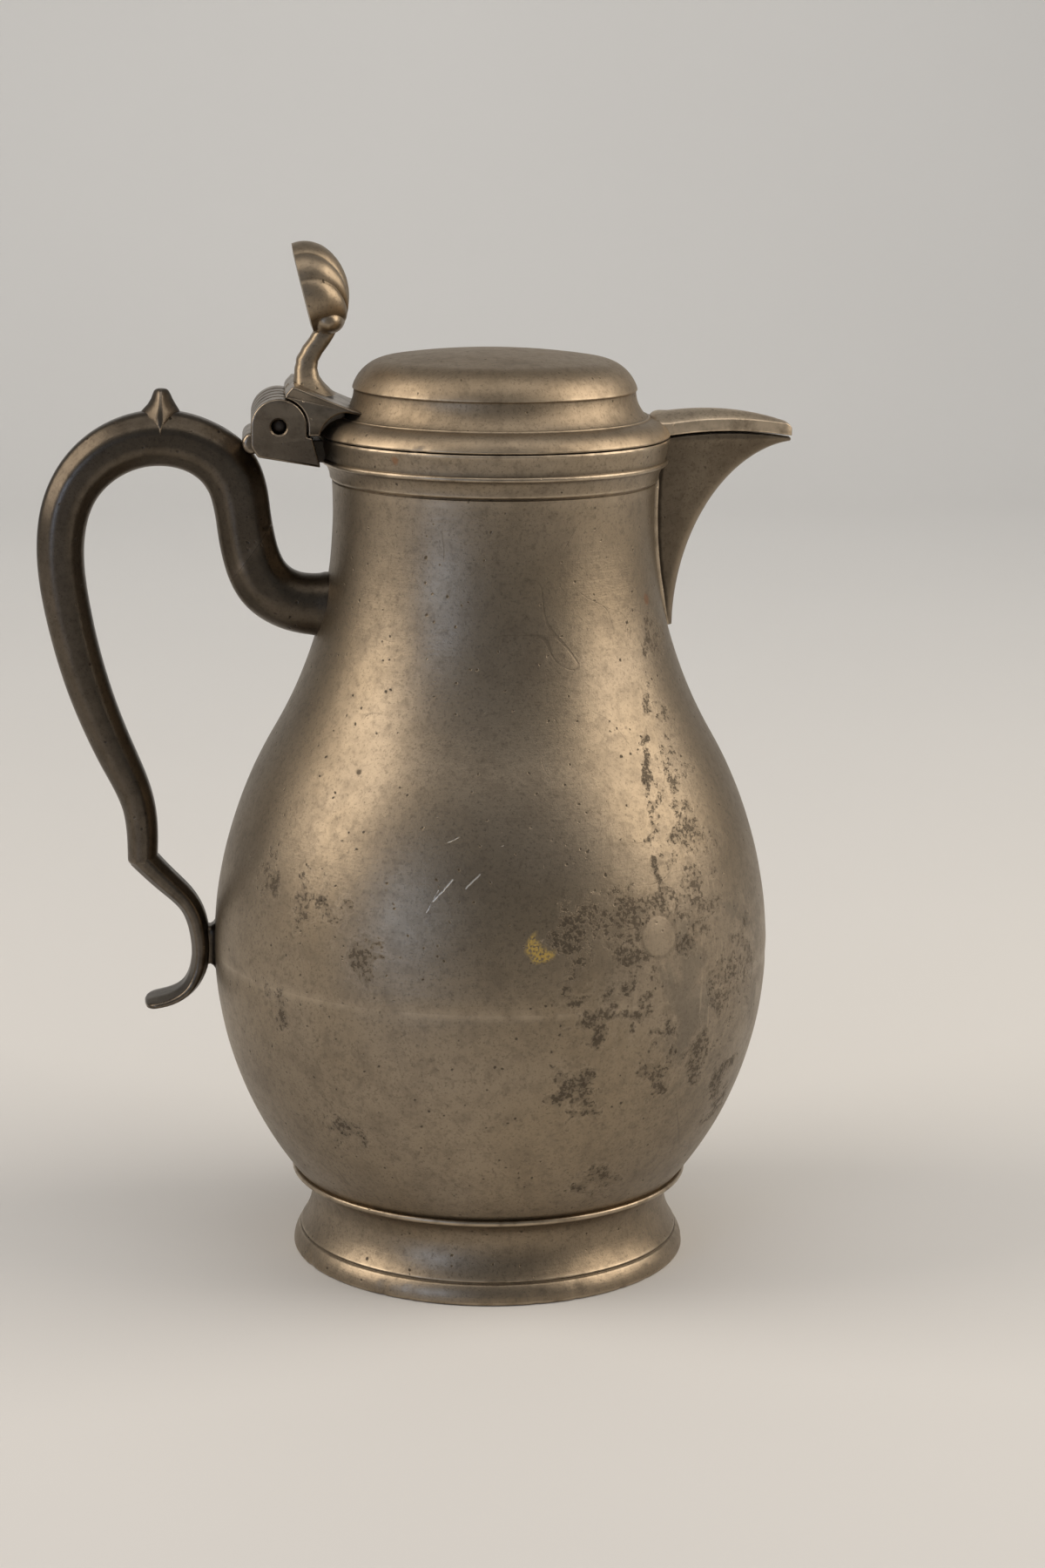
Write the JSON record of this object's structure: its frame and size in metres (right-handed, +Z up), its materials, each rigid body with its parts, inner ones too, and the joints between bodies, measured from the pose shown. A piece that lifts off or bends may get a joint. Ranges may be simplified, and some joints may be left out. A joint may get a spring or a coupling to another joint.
{
  "type": "pewter jug",
  "caption": "Pear-shaped pewter jug on a flared foot, with a covered beak spout, a scroll handle and a domed lid that opens on a knuckle hinge with a shell thumbpiece.",
  "frame": {"origin": "on the table, at the jug's turning axis under the foot", "axes": "+Z up along the turning axis, +X towards the spout, -X towards the handle, +Y to the jug's left seen from behind the handle"},
  "size_m": [0.2124, 0.1592, 0.2911],
  "materials": {
    "pewter_body": "aged satin pewter with pits and stains",
    "pewter_handle": "darker worn pewter",
    "pewter_hinge": "grey cast pewter",
    "pewter_lid": "aged satin pewter",
    "iron_pin": "dark iron wire"
  },
  "bodies": {
    "jug": {"foot_ring": "pewter_body", "base_plate": "pewter_body", "lower_body": "pewter_body", "upper_body": "pewter_body", "spout": "pewter_body", "handle_root": "pewter_handle", "handle_scroll": "pewter_handle", "handle_pad": "pewter_handle", "hinge_bracket": "pewter_hinge", "hinge_pin": "iron_pin"},
    "lid": {"lid": "pewter_lid", "lid_spout_cover": "pewter_lid", "lid_hinge_lug": "pewter_hinge", "thumbpiece": "pewter_hinge"}
  },
  "joints": [
    {"name": "lid_hinge", "type": "hinge", "parent": "jug", "child": "lid", "pos_m": [-0.0606, 0, 0.2418], "axis": [0, -1, 0], "range_deg": [0, 92]}
  ]
}
